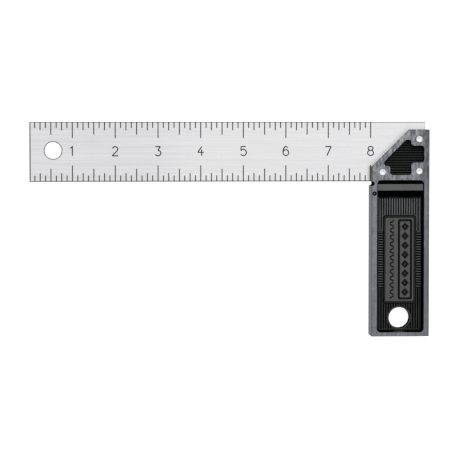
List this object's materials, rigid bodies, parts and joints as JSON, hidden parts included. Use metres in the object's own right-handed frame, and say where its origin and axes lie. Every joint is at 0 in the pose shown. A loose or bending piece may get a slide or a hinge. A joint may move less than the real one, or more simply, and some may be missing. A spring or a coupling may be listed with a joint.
{
  "type": "try square",
  "caption": "Fixed try square: a graduated steel blade riveted at right angles into a cast, ribbed stock with a mitred head and hanging holes.",
  "frame": {"origin": "centre of the square's bounding box in plan, on the plane of the stock's rear face, so the square lies flat", "axes": "+X along the blade, from its free end to the stock; +Y along the stock, from its foot to its head; +Z through the thickness, from the rear face to the front face"},
  "size_m": [0.2378, 0.128, 0.016],
  "materials": {
    "blade_steel": "satin",
    "cast_stock": "satin",
    "rivet_steel": "satin"
  },
  "bodies": {
    "root": {"blade": "blade_steel", "stock": "cast_stock", "rivet_upper": "rivet_steel", "rivet_outer": "rivet_steel", "rivet_inner": "rivet_steel"}
  },
  "joints": []
}
